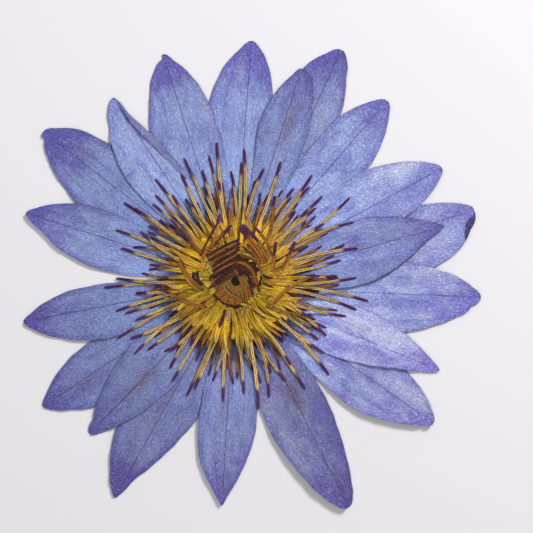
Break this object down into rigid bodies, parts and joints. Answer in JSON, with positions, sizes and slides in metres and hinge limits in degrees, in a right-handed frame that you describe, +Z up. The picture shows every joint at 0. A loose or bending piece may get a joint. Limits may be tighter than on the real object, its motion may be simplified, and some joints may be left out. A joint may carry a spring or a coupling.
{
  "type": "pressed water lily flower",
  "caption": "Flower of a blue water lily pressed flat, with overlapping violet-blue petals, a star of gold stamens with dark tips, and a small stigma disc in the middle.",
  "frame": {"origin": "on the flower's axis, at the centre of the receptacle's flat underside, on the surface the flower lies on", "axes": "+Z up from that surface; +Y along the longest spread of the petals, from the flower towards its topmost petal tip; +X to the right of that, seen from above"},
  "size_m": [0.1752, 0.1787, 0.0072],
  "materials": {
    "sepal": "dry matt skin, violet-blue above, greener below",
    "petal": "dry matt skin, finely crinkled, violet-blue",
    "outer_stamen": "dry matt, gold pollen ridges with dark violet tips",
    "inner_stamen": "dry matt, orange-brown and violet",
    "receptacle": "dry matt, olive brown",
    "stigma": "dry matt, orange-brown, ribbed",
    "carpel": "dry matt, greenish yellow"
  },
  "bodies": {
    "root": {"sepal_01": "sepal", "sepal_02": "sepal", "sepal_03": "sepal", "sepal_04": "sepal", "petal_01": "petal", "petal_02": "petal", "petal_03": "petal", "petal_04": "petal", "petal_05": "petal", "petal_06": "petal", "petal_07": "petal", "petal_08": "petal", "petal_09": "petal", "petal_10": "petal", "petal_11": "petal", "petal_12": "petal", "petal_13": "petal", "petal_14": "petal", "petal_15": "petal", "petal_16": "petal", "stamens_outer_01": "outer_stamen", "stamens_outer_02": "outer_stamen", "stamens_outer_03": "outer_stamen", "stamens_outer_04": "outer_stamen", "stamens_outer_05": "outer_stamen", "stamens_outer_06": "outer_stamen", "stamens_outer_07": "outer_stamen", "stamens_outer_08": "outer_stamen", "stamens_outer_09": "outer_stamen", "stamens_outer_10": "outer_stamen", "stamens_outer_11": "outer_stamen", "stamens_outer_12": "outer_stamen", "stamens_outer_13": "outer_stamen", "stamens_outer_14": "outer_stamen", "stamens_outer_15": "outer_stamen", "stamens_outer_16": "outer_stamen", "stamens_outer_17": "outer_stamen", "stamens_outer_18": "outer_stamen", "stamens_inner_01": "inner_stamen", "stamens_inner_02": "inner_stamen", "stamens_inner_03": "inner_stamen", "stamens_inner_04": "inner_stamen", "stamens_inner_05": "inner_stamen", "stamens_inner_06": "inner_stamen", "stamens_inner_07": "inner_stamen", "stamens_inner_08": "inner_stamen", "stamens_inner_09": "inner_stamen", "stamens_inner_10": "inner_stamen", "stamens_inner_11": "inner_stamen", "stamens_inner_12": "inner_stamen", "receptacle": "receptacle", "stigma_disc": "stigma", "carpel_ring": "carpel"}
  },
  "joints": []
}
